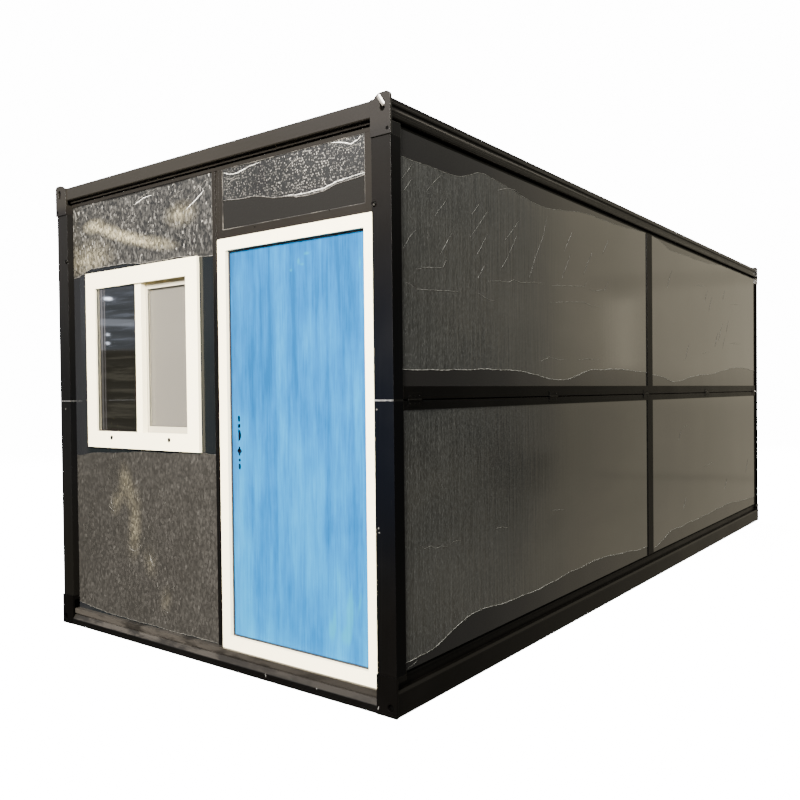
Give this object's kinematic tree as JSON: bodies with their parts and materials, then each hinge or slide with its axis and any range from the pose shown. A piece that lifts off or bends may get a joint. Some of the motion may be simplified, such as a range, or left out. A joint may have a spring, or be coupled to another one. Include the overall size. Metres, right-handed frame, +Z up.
{
  "type": "folding prefab house",
  "caption": "Flat-roofed folding cabin: steel base and roof frames, long walls broken at mid height, hung end walls, a hinged door that opens inwards and a sliding-type window.",
  "frame": {"origin": "middle of the footprint, on the ground", "axes": "+Z up, X across the front, Y along the house, the front with the door and window at -Y"},
  "size_m": [2.48, 5.8, 2.52],
  "materials": {
    "frame_steel": "satin graphite paint",
    "wall_panel": "dark grey coated sheet under clear embossed film",
    "cream_frame": "satin cream",
    "door_film": "blue protective film",
    "window_glass": "clear",
    "hinge_steel": "zinc plated",
    "zinc_plate": "zinc plated",
    "floor_board": "cement board",
    "ceiling": "white coated sheet"
  },
  "bodies": {
    "house": {"base_corner_plates": "frame_steel", "left_base_beam": "frame_steel", "right_base_beam": "frame_steel", "front_base_beam": "frame_steel", "back_base_beam": "frame_steel", "floor_joists": "frame_steel", "floor_board": "floor_board", "front_lower_posts": "frame_steel", "front_upper_posts": "frame_steel", "back_lower_posts": "frame_steel", "back_upper_posts": "frame_steel", "fold_packing_plates": "zinc_plate", "left_lower_wall_frame": "frame_steel", "left_lower_wall_panels": "wall_panel", "left_upper_wall_frame": "frame_steel", "left_upper_wall_panels": "wall_panel", "right_lower_wall_frame": "frame_steel", "right_lower_wall_panels": "wall_panel", "right_upper_wall_frame": "frame_steel", "right_upper_wall_panels": "wall_panel", "fold_hinges": "hinge_steel", "roof_corner_plates": "frame_steel", "left_roof_rail": "frame_steel", "right_roof_rail": "frame_steel", "front_roof_rail": "frame_steel", "back_roof_rail": "frame_steel", "roof_purlins": "frame_steel", "ceiling_panel": "ceiling", "roof_sheet": "frame_steel", "front_mullion": "frame_steel", "front_top_rail": "frame_steel", "front_transom_frame": "frame_steel", "front_transom_panel": "wall_panel", "front_lower_panel": "wall_panel", "front_upper_panel": "wall_panel", "window_side_panels": "wall_panel", "window_frame": "cream_frame", "left_sash": "cream_frame", "right_sash": "cream_frame", "window_glass": "window_glass", "door_frame": "cream_frame", "door_hinge_frames": "hinge_steel", "back_wall_frame": "frame_steel", "back_wall_panels": "wall_panel"},
    "door": {"door_leaf": "door_film"}
  },
  "joints": [
    {"name": "door_swing", "type": "hinge", "parent": "house", "child": "door", "pos_m": [1.0855, -2.801, 1.0775], "axis": [0, 0, -1], "range_deg": [0, 90]}
  ]
}
